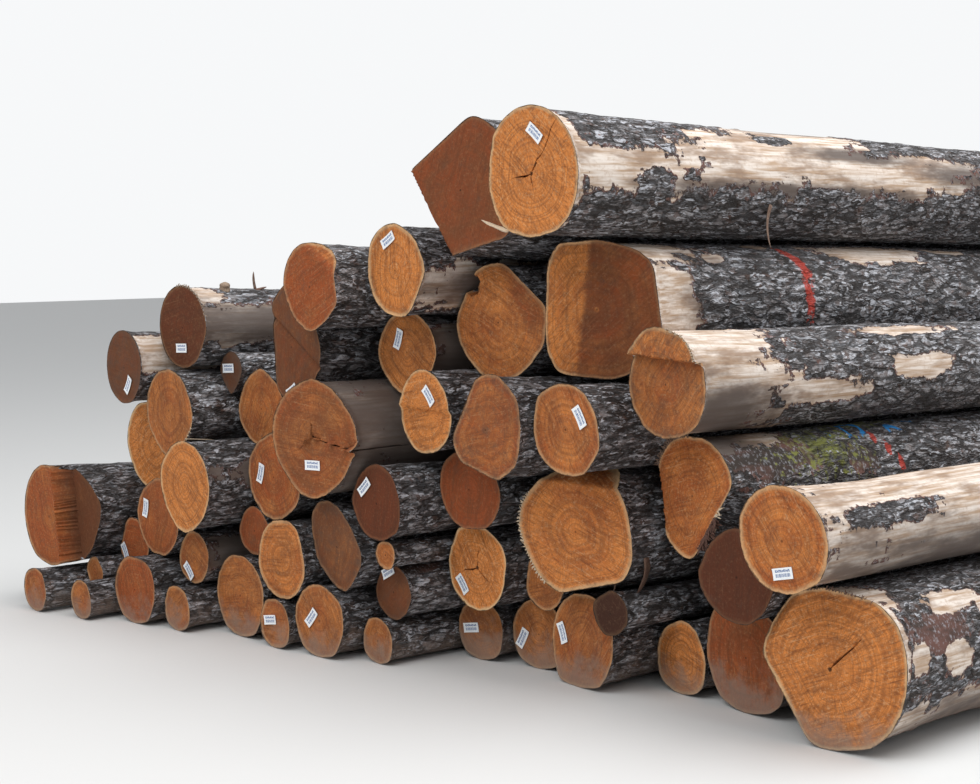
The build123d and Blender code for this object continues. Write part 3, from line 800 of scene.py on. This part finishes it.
def sawn_material(looks, groups):
    """A sawn end: growth rings by the distance from the pith, rays, saw marks, a pale rim and bark's edge."""
    material, s, body = new_material("Sawn end", 0.8, 0.12)
    place, flat, seed, fresh = s.place(), s.flat(), s.value("seed_share"), s.value("fresh_share")
    ring = s.line(s.noise(place, 12.0, 3.0), 0.02, s.value("ring"))
    outward = s.joined(X=ring, Y=seed)
    bands, broad = s.noise(outward, 110.0, 3.0, 0.75), s.noise(outward, 24.0, 2.0, 0.6)
    axes = s.apart(flat)
    turn = s.math("ARCTAN2", axes["Y"], axes["X"])
    spokes = s.joined(X=s.math("COSINE", turn), Y=s.math("SINE", turn), Z=s.line(ring, 1.5, seed))
    rays = s.noise(spokes, 24.0, 3.0, 0.7)
    saw = s.group(groups["saw"], Vector=flat, Turn=seed)
    lines = saw["Lines"]

    cloud = s.plus(fresh, s.swing(s.noise(place, 10.0, 3.0, 0.65), 1.3))
    red = s.plus(s.value("red_share"), s.line(s.noise(place, 7.0, 3.0, 0.65), 1.3, -0.6))
    colour = s.coats(looks.wood_worn, (looks.wood_fresh, cloud, 0.0, 1.0, 1.0),
                     (looks.wood_red, s.plus(red, s.swing(broad, 0.9)), 0.1, 1.0, 0.85),
                     (looks.wood_ring, bands, 0.42, 0.66, 0.5),
                     (looks.wood_ring, rays, 0.45, 0.72, 0.6),
                     (looks.wood_ring, lines, 0.52, 0.7, 0.65),
                     (looks.wood_ring, saw["Smear"], 0.42, 0.8, 0.6),
                     (looks.wood_ring, s.noise(place, 170.0, 1.0, 0.75), 0.42, 0.7, 0.22))
    # the dark share darkens the end: old, dark wood on most logs, and painted shade on log_55 and log_47
    colour = s.mix(s.value("dark_share"), colour, looks.wood_dark_and_shade)
    bright = s.line(fresh, 0.36, 0.06)
    fine = s.noise(place, 95.0, 3.0, 0.75)
    colour = s.coat(colour, looks.sapwood, s.rest(s.ease(lines, 0.28, 0.42)), bright)
    colour = s.coats(colour, (looks.sapwood, fine, 0.5, 0.75, bright))

    edge = s.plus(s.value("edge"), s.swing(s.noise(place, 30.0, 3.0, 0.65), 0.016))
    width = s.line(s.noise(place, 8.0, 2.0), 0.022, s.value("sap_share"))
    colour = s.coat(colour, looks.sapwood, s.rest(s.ease(edge, 0.002, width)), s.line(fresh, 0.75, 0.06))
    mottle = s.swing(s.noise(place, 20.0, 4.0, 0.7, 0.6), 1.6)
    # grime by the log's share and a mottle, and the end darker towards the rim
    grime_and_rim_darkening = s.plus(s.plus(s.value("grime_share"), mottle), s.times(s.rest(s.ease(edge, 0.0, 0.04)), 0.14))
    rim = s.rest(s.ease(edge, 0.0, 0.004))
    colour = s.coat(s.coats(colour, (looks.grime, grime_and_rim_darkening, 0.25, 1.0, 0.7)), looks.bark_dark, rim, 0.8)
    pith = s.times(s.rest(s.ease(s.value("ring"), 0.002, 0.006)), 0.7)
    # painted shade: the checks are coated near-black inside; the same colour marks a dark dot at the pith
    colour = s.coat(colour, looks.crevice, s.math("MAXIMUM", s.ease(s.value("crack"), 0.2, 0.7), pith), 0.85)
    colour = s.muddied(colour, looks, groups, place)

    relief = s.line(bands, 0.3, s.times(rays, 0.3))
    relief = s.line(lines, 0.35, s.line(fine, 0.3, relief))
    s.finish(body, colour, s.line(rim, 0.4, relief), 0.7, 0.004)
    return material


def tag_material(looks):
    """A white plastic tag with plain bars and ticks for digits, read from its own UV map."""
    material, s, body = new_material("Plain tag", 0.5)
    flat = s.flat()
    u, v = s.apart(flat)[:2]
    bars = s.node("ShaderNodeTexNoise", {"noise_dimensions": "1D"}, W=s.times(u, 60.0), Scale=1.0,
                  Detail=0.0).outputs[0]
    spread = s.node("ShaderNodeMapping", None, Vector=flat, Scale=(26.0, 9.0, 1.0)).outputs[0]
    ticks = s.node("ShaderNodeTexNoise", {"noise_dimensions": "2D"}, Vector=spread, Scale=1.0,
                   Detail=1.0).outputs[0]
    bars = s.times(s.ease(bars, 0.44, 0.46), s.window(v, 0.2, 0.5, 0.02))
    ticks = s.times(s.ease(ticks, 0.42, 0.46), s.window(v, 0.62, 0.85, 0.01))
    ink = s.times(s.math("MAXIMUM", bars, ticks), s.window(u, 0.12, 0.87, 0.01))
    s.feed(body.inputs["Base Color"], s.coat(looks.tag_white, looks.tag_ink, ink, 0.85))
    return material


def fibre_material(looks):
    """Torn fibres and flakes of bark, from pale to dark by each one's own tone."""
    material, s, body = new_material("Torn fibre", 0.85)
    noise = s.noise(s.place(), 90.0, 3.0, 0.7)
    tone = s.plus(s.value("tone"), s.swing(noise, 0.6))
    s.finish(body, s.mix(s.ease(tone, 0.0, 1.0), looks.fibre_pale, looks.fibre_dark), noise, 0.8, 0.002)
    return material


def bent_tags(sizes, material):
    """Every tag as a thin closed plate, bowed along its length and curled up a little at its corners.

    The lift is 0.6 of the square of the way along plus 0.4 of the product of both ways' squares.
    """
    boxes = node_triangles("log_tags").reshape(-1, 12 * 3, 3)
    columns, lines = 9, 5
    u, v = np.meshgrid(np.linspace(-1, 1, columns), np.linspace(-1, 1, lines))
    lift = sizes.tag_curl * (u ** 2 * 0.6 + u ** 2 * v ** 2 * 0.4)
    skin = columns * lines
    points, quads = [], []
    for number, box in enumerate(boxes):
        centre = box.mean(0)
        axes = np.linalg.svd(np.unique(np.round(box, 5), axis=0) - centre)[2]
        along, up = axes[0] * np.sign(axes[0][0] + 1e-9), axes[1] * np.sign(axes[1][2] + 1e-9)
        out = np.cross(along, up)
        if out[1] > 0:
            up, out = -up, -out
        half = [np.abs((box - centre) @ axis).max() for axis in (along, up, out)]
        flat = centre + u[..., None] * half[0] * along + v[..., None] * half[1] * up
        points += [(flat + (depth + lift)[..., None] * out).reshape(-1, 3) for depth in (half[2], -half[2])]
        base = number * 2 * skin
        i = np.arange(lines - 1)[:, None] * columns + np.arange(columns - 1)[None] + base
        face = np.stack([i, i + 1, i + columns + 1, i + columns], -1).reshape(-1, 4)
        rim = np.concatenate([np.arange(columns), (np.arange(1, lines) + 1) * columns - 1,
                              np.arange(skin - 2, columns * (lines - 1) - 1, -1),
                              np.arange(lines - 2, 0, -1) * columns]) + base
        under = rim + skin
        wall = np.stack([rim, under, np.roll(under, -1), np.roll(rim, -1)], -1)
        quads += [face, (face + skin)[:, ::-1], wall]
    points, quads = np.concatenate(points), np.concatenate(quads)
    printed = np.stack([(u + 1) / 2, (v + 1) / 2], -1).reshape(-1, 2)
    uvs = np.tile(np.concatenate([printed, np.zeros((skin, 2))]), (len(boxes), 1))
    piece = build_mesh("plain_tags", points, quads, np.empty((0, 3), int), np.zeros(len(quads)), {}, uvs,
                       [material])
    piece.data.set_sharp_from_angle(angle=math.radians(TAG_CREASE))
    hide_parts("log_tags")


FRINGES = (  # log, the directions it runs between, how many fibres, their length, width and tone
    ("log_43", 150, 236, 130, 0.014, 0.005, 0.1), ("log_45", 98, 172, 90, 0.022, 0.006, 0.75),
    ("log_45", 285, 332, 60, 0.035, 0.012, 0.95), ("log_45", 336, 350, 12, 0.02, 0.006, 0.0),
    ("log_14", 300, 345, 30, 0.012, 0.004, 0.0), ("log_54", 62, 112, 40, 0.016, 0.006, 0.8),
    ("log_9", 20, 100, 40, 0.016, 0.006, 0.6), ("log_42", 25, 75, 30, 0.014, 0.005, 0.3))
FLAKES = (  # log, along, direction, aim (outward, around, forward), length, width, thickness, bend, taper
    # (the more, the blunter) and tone
    ("log_1", 0.0, 240, (0.3, -1, 0.25), 0.12, 0.036, 0.006, 0.1, 2, 0.1),
    ("log_1", 1.03, 338, (0.25, -1, 0.4), 0.16, 0.024, 0.006, -0.4, 3, 0.75),
    ("log_9", 0.17, 75, (1, 0, 0.1), 0.04, 0.05, 0.045, 0, 9, 0.6),
    ("log_9", 0.37, 88, (1, 0.1, 0.3), 0.08, 0.014, 0.012, -0.2, 3, 0.8),
    ("log_9", 0.38, 84, (0.3, -0.3, -0.9), 0.05, 0.022, 0.01, 0, 2, 0.85),
    ("log_14", 0.0, 320, (0.35, 0.2, -1), 0.12, 0.009, 0.005, 0, 2, 0.2),
    ("log_43", 0.1, 340, (0.55, -1, 0), 0.14, 0.085, 0.007, 0.45, 3, 0.8),
    ("log_43", 0.04, 310, (0.7, -0.8, 0), 0.1, 0.06, 0.006, 0.2, 2, 0.75),
    ("log_45", 0.03, 310, (0.3, -1, 0), 0.07, 0.016, 0.005, 0.1, 2, 0.1),
    ("log_45", 0.1, 320, (0.6, -1, 0.1), 0.09, 0.05, 0.006, 0.3, 2, 0.9))
FORWARD = np.array([[0, -1.0, 0]])
FIBRE_THICKNESS = 0.0015
ROOT = 0.006  # how deep a strand starts under the surface


def on_log(name, along, direction):
    """Points of a dressed log's side, so far along and in those directions, and the ways out and around."""
    look = LOOKS[name]
    dressed = bpy.data.objects.get("bark_" + name)
    if dressed is None:
        raise RuntimeError("the logs are dressed before their tatters")
    points = np.empty(len(dressed.data.vertices) * 3)
    dressed.data.vertices.foreach_get("co", points)
    grid = points[3:3 + 3 * look.sides * (look.rings + look.rows)].reshape(-1, look.sides, 3)[look.rings - 1:]
    turn, none = np.radians(direction), np.zeros(len(direction))
    column = np.round(turn * look.sides / FULL_TURN).astype(int) % look.sides
    row = np.abs(grid[:, column, 1] - grid[0, column, 1] - along).argmin(0)
    return (grid[row, column], np.stack([np.cos(turn), none, np.sin(turn)], -1),
            np.stack([-np.sin(turn), none, np.cos(turn)], -1))


def strands(base, aim, across, length, width, thickness, bend, taper):
    """Many closed strands at once: sections with six corners on a path that bends as the square of the way.

    The half width falls from root to tip as the square root of one minus the way to the power of taper.
    """
    count, rows, corners = len(base), 9, 6
    way = np.linspace(0, 0.985, rows)[None, :, None]
    turn = np.arange(corners) * FULL_TURN / corners
    aim = aim / np.linalg.norm(aim, axis=1, keepdims=True)
    across = across - (across * aim).sum(1, keepdims=True) * aim
    across = across / np.linalg.norm(across, axis=1, keepdims=True)
    normal = np.cross(across, aim)
    length, width, thickness, bend, taper = (np.reshape(value, (-1, 1, 1)) * np.ones((count, 1, 1))
                                             for value in (length, width, thickness, bend, taper))
    shape = np.sqrt(1 - way ** taper)
    frayed = 1 + 0.5 * (np.random.default_rng(5).random((count, rows, 1)) - 0.5)
    root = base[:, None] - ROOT * aim[:, None]
    spine = root + length * way * aim[:, None] + bend * length * way ** 2 * normal[:, None]
    ring = (np.cos(turn)[:, None] * (width * shape * frayed)[:, :, None] * across[:, None, None]
            + np.sin(turn)[:, None] * (thickness * shape)[:, :, None] * normal[:, None, None]) / 2
    tip = root + length * aim[:, None] + bend * length * normal[:, None]
    points = np.concatenate([(spine[:, :, None] + ring).reshape(count, -1, 3), root, tip], 1)
    each = rows * corners + 2
    first = (np.arange(count) * each)[:, None, None]
    quads = (grid_faces(rows, corners, 0)[None] + first).reshape(-1, 4)
    k, k_next = np.arange(corners), (np.arange(corners) + 1) % corners
    last = (rows - 1) * corners
    fans = np.stack([np.repeat([each - 2, each - 1], corners), np.concatenate([k, last + k_next]),
                     np.concatenate([k_next, last + k])], -1)
    unrolled = np.stack(np.meshgrid(turn / FULL_TURN, way.ravel()), -1).reshape(-1, 2)
    uvs = np.tile(np.concatenate([unrolled, np.zeros((2, 2))]), (count, 1))
    return points.reshape(-1, 3), quads, (fans[None] + first).reshape(-1, 3), uvs


def torn_bits(material):
    """Fringes of fibres along the rims, and single splinters, flakes, a stub and twigs, as one mesh."""
    chance = np.random.default_rng(11)
    parts, tones = [], []
    for name, start, stop, count, length, width, tone in FRINGES:
        direction = np.linspace(start, stop, count) + chance.normal(0, 1.5, count)
        base, out, around = on_log(name, 0.0, direction)
        front = FORWARD * chance.uniform(-0.5, 0.5, (count, 1))
        aim = out + front + around * chance.uniform(-0.9, 0.9, (count, 1))
        lengths = length * chance.uniform(0.4, 1.3, count)
        widths = width * chance.uniform(0.5, 1.4, count)
        bends = chance.uniform(-0.4, 0.4, count)
        parts.append(strands(base, aim, around + front, lengths, widths, FIBRE_THICKNESS, bends, 2.0))
        tones.append(tone)
    for name, along, direction, aim, length, width, thickness, bend, taper, tone in FLAKES:
        base, out, around = on_log(name, along, np.array([direction]))
        across = np.cross(out, aim[1] * around + FORWARD)
        aim = aim[0] * out + aim[1] * around + aim[2] * FORWARD
        parts.append(strands(base, aim, across, length, width, thickness, bend, taper))
        tones.append(tone)
    counts = [len(part[0]) for part in parts]
    offsets = np.cumsum([0] + counts[:-1])
    points, uvs = (np.concatenate([part[i] for part in parts]) for i in (0, 3))
    quads, fans = (np.concatenate([part[i] + offset for part, offset in zip(parts, offsets)]) for i in (1, 2))
    piece = build_mesh("torn_bits", points, quads, fans, np.zeros(len(quads) + len(fans)),
                       {"tone": np.repeat(tones, counts)}, uvs, [material])


def a_colour(name, text, red, green, blue):
    """A colour property."""
    return bpy.props.FloatVectorProperty(name=name, description=text, subtype="COLOR", size=4, min=0, max=1,
                                         default=(red, green, blue, 1))


def a_size(name, text, default, least=0.0, unit="LENGTH"):
    """A size property."""
    return bpy.props.FloatProperty(name=name, description=text, default=default, min=least, unit=unit)


class LogPileLooks(bpy.types.PropertyGroup):
    """Colours of bark, wood, mud, moss and paint."""

    bark_dark: a_colour("Dark bark", "Brown of the bark in the shade of its plates", 0.035, 0.025, 0.02)
    bark_grey: a_colour("Grey bark", "Grey-brown of the plates", 0.27, 0.255, 0.26)
    bark_red: a_colour("Red bark", "Red-brown flakes", 0.13, 0.06, 0.04)
    # painted glints on the plates, and also the pale patches on the inner bark
    pale_bark_and_glint: a_colour("Pale bark and glints", "Painted glints on the tips of the plates, and pale patches on the inner bark", 0.50, 0.51, 0.55)
    # near-black painted shade for the crevices and cracks
    crevice: a_colour("Crevice", "Between plates and inside cracks", 0.012, 0.009, 0.008)
    inner_bark: a_colour("Inner bark", "Red-brown layer under the plates", 0.15, 0.07, 0.055)
    bare_wood: a_colour("Bare wood", "Sapwood where the bark has come off", 0.82, 0.735, 0.66)
    bare_streak: a_colour("Streaks", "Darker streaks of the bare sapwood", 0.46, 0.31, 0.20)
    bare_stain: a_colour("Stains", "Weathered stains on the bare sapwood", 0.27, 0.17, 0.11)
    # weathered wood, and also painted shade on the lower side of log_46's bare wood
    worn_and_shaded_wood: a_colour("Worn and shaded wood", "Grey-brown of wood that has long lain bare, and painted shade on the lower side of bare wood", 0.10, 0.077, 0.067)
    wood_fresh: a_colour("Fresh cut", "Bright heartwood", 0.74, 0.262, 0.066)
    wood_worn: a_colour("Weathered cut", "Heartwood gone brown", 0.22, 0.084, 0.036)
    wood_red: a_colour("Red heart", "Red heartwood", 0.37, 0.078, 0.022)
    # old, dark heartwood, and also painted shade on the ends of log_55 and log_47
    wood_dark_and_shade: a_colour("Dark heart and shade", "Old, dark cut, and painted shade on ends that lie in shade", 0.05, 0.022, 0.015)
    wood_ring: a_colour("Ring", "Late wood of the rings, and rays", 0.16, 0.055, 0.024)
    grime: a_colour("Grime", "Brown dirt on the ends", 0.10, 0.065, 0.048)
    sapwood: a_colour("Sapwood", "Pale band under the bark", 0.72, 0.47, 0.25)
    moss_dark: a_colour("Dark moss", "Moss in the shade", 0.07, 0.085, 0.02)
    moss_light: a_colour("Light moss", "Tips of the moss", 0.30, 0.31, 0.07)
    paint_red: a_colour("Red paint", "Marking paint", 0.50, 0.05, 0.03)
    paint_blue: a_colour("Blue paint", "Marking paint", 0.03, 0.30, 0.75)
    mud: a_colour("Mud", "Dried mud", 0.27, 0.20, 0.16)
    fibre_pale: a_colour("Pale fibre", "Splinters of sapwood and torn inner bark", 0.62, 0.50, 0.36)
    fibre_dark: a_colour("Dark fibre", "Loose flakes of bark", 0.11, 0.05, 0.035)
    tag_white: a_colour("Tag", "Plastic of the tags", 0.90, 0.92, 0.93)
    tag_ink: a_colour("Ink", "Bars and digits on the tags", 0.03, 0.10, 0.30)
    floor: a_colour("Floor", "Plain pale floor", 0.72, 0.72, 0.71)


class LogPileSizes(bpy.types.PropertyGroup):
    """Sizes of the relief, the tags and the floor."""

    relief: a_size("Bark relief", "Depth between the plates of bark", 0.009)
    bark_thickness: a_size("Bark thickness", "Step down to the bare wood", 0.008)
    tag_curl: a_size("Tag curl", "How far a tag's ends lift", 0.003)
    floor: a_size("Floor", "Width of the pale floor", 60, 10)
    crowding: a_size("Crowding", "How much closer a log's rows lie near its end", 1.7, 1, "NONE")
    crowding_big: a_size("Crowding, big logs", "The same on the logs in front", 1.35, 1, "NONE")


class LOGPILE_OT_logs(bpy.types.Operator):
    """Dress every log with bark and sawn ends"""

    bl_idname = "logpile.logs"
    bl_label = "Logs"

    def execute(self, context):
        looks, sizes = context.scene.log_pile_looks, context.scene.log_pile_sizes
        groups = {"plates": bark_plates(), "mud": dried_mud(), "grain": wood_grain(), "saw": saw_marks()}
        materials = [bark_material(looks, groups), sawn_material(looks, groups)]
        names = [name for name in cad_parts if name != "log_tags"]
        if not names:
            raise RuntimeError("the frame holds no logs")
        for name in names:
            dress_log(name, LOOKS.get(name, Look()), sizes, materials)
        return {"FINISHED"}


class LOGPILE_OT_tatters(bpy.types.Operator):
    """Make the torn fibres, splinters, flakes and twigs on the dressed logs"""

    bl_idname = "logpile.tatters"
    bl_label = "Tatters"

    def execute(self, context):
        torn_bits(fibre_material(context.scene.log_pile_looks))
        return {"FINISHED"}


class LOGPILE_OT_tags(bpy.types.Operator):
    """Make the plain white tags on the sawn ends"""

    bl_idname = "logpile.tags"
    bl_label = "Tags"

    def execute(self, context):
        bent_tags(context.scene.log_pile_sizes, tag_material(context.scene.log_pile_looks))
        return {"FINISHED"}


LAMPS = (  # name, place, what it is aimed at, width, power in watts
    ("key", (1.5, -9.0, 8.5), (0.4, 0, 0.8), 7.0, 500), ("top", (3.0, 1.0, 9.0), (0.5, 0, 1.0), 8.0, 720))
CAMERA_PLACE, CAMERA_DIP, CAMERA_TURN = (5.215, -6.073, 1.700), 5.44, 48.16  # angles in degrees
SENSOR, LENS = 36, 65.11  # in millimetres


def pale_floor(looks, sizes):
    """The floor, a square about the origin."""
    half = sizes.floor / 2
    mesh = bpy.data.meshes.new("pale_floor")
    corners = [(-half, -half, 0), (half, -half, 0), (half, half, 0), (-half, half, 0)]
    mesh.from_pydata(corners, [], [(0, 1, 2, 3)])
    material, s, body = new_material("Pale floor", 0.9)
    body.inputs["Base Color"].default_value = looks.floor
    mesh.materials.append(material)
    floor = bpy.data.objects.new("pale_floor", mesh)
    bpy.context.scene.collection.objects.link(floor)


def soft_world(scene):
    """A world that lights softly, and that is near white where it is seen, directly or in gloss."""
    scene.world = bpy.data.worlds.new("Soft studio")
    scene.world.use_nodes = True
    scene.world.node_tree.nodes.clear()
    s = Shader(scene.world.node_tree)
    rays = s.node("ShaderNodeLightPath").outputs
    seen = s.math("MAXIMUM", rays["Is Camera Ray"],
                  s.math("MAXIMUM", rays["Is Glossy Ray"], rays["Is Transmission Ray"]))
    light = s.node("ShaderNodeBackground", None, Color=(0.95, 0.97, 1.0, 1), Strength=0.52)
    shown = s.node("ShaderNodeBackground", None, Color=(0.93, 0.94, 0.95, 1), Strength=1.0)
    both = s.node("ShaderNodeMixShader", None, i0=seen, i1=light.outputs[0], i2=shown.outputs[0])
    s.node("ShaderNodeOutputWorld", None, Surface=both.outputs[0])


class LOGPILE_OT_stage(bpy.types.Operator):
    """Lay the floor and set the lamps, the world and the camera"""

    bl_idname = "logpile.stage"
    bl_label = "Stage"

    def execute(self, context):
        scene = context.scene
        pale_floor(scene.log_pile_looks, scene.log_pile_sizes)
        soft_world(scene)
        for name, place, aim, width, power in LAMPS:
            data = bpy.data.lights.new(name, "AREA")
            data.size, data.energy = width, power
            lamp = bpy.data.objects.new(name, data)
            lamp.location = place
            lamp.rotation_euler = (Vector(aim) - Vector(place)).to_track_quat("-Z", "Y").to_euler()
            scene.collection.objects.link(lamp)
        data = bpy.data.cameras.new("camera")
        data.sensor_fit, data.sensor_width, data.lens, data.clip_end = "HORIZONTAL", SENSOR, LENS, 300
        camera = bpy.data.objects.new("camera", data)
        camera.location = CAMERA_PLACE
        camera.rotation_euler = (math.radians(90 - CAMERA_DIP), 0, math.radians(CAMERA_TURN))
        scene.collection.objects.link(camera)
        scene.camera = camera
        scene.view_settings.view_transform = "Standard"
        return {"FINISHED"}


STEPS = (LOGPILE_OT_logs, LOGPILE_OT_tatters, LOGPILE_OT_tags, LOGPILE_OT_stage)


class LOGPILE_PT_panel(bpy.types.Panel):
    """Steps, sizes and colours of the log pile"""

    bl_idname = "LOGPILE_PT_panel"
    bl_label = "Logs"
    bl_space_type = "VIEW_3D"
    bl_region_type = "UI"
    bl_category = "Logs"

    def draw(self, context):
        for step in STEPS:
            self.layout.operator(step.bl_idname)
        for group in (context.scene.log_pile_sizes, context.scene.log_pile_looks):
            for key in group.__annotations__:
                self.layout.prop(group, key)


CLASSES = (LogPileLooks, LogPileSizes, LOGPILE_PT_panel) + STEPS


def register():
    for kind in CLASSES:
        bpy.utils.register_class(kind)
    bpy.types.Scene.log_pile_looks = bpy.props.PointerProperty(type=LogPileLooks)
    bpy.types.Scene.log_pile_sizes = bpy.props.PointerProperty(type=LogPileSizes)


def unregister():
    del bpy.types.Scene.log_pile_sizes
    del bpy.types.Scene.log_pile_looks
    for kind in reversed(CLASSES):
        bpy.utils.unregister_class(kind)


def main():
    """Register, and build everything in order."""
    register()
    bpy.ops.logpile.logs()
    bpy.ops.logpile.tatters()
    bpy.ops.logpile.tags()
    bpy.ops.logpile.stage()
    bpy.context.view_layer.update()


if __name__ == "__main__":
    main()
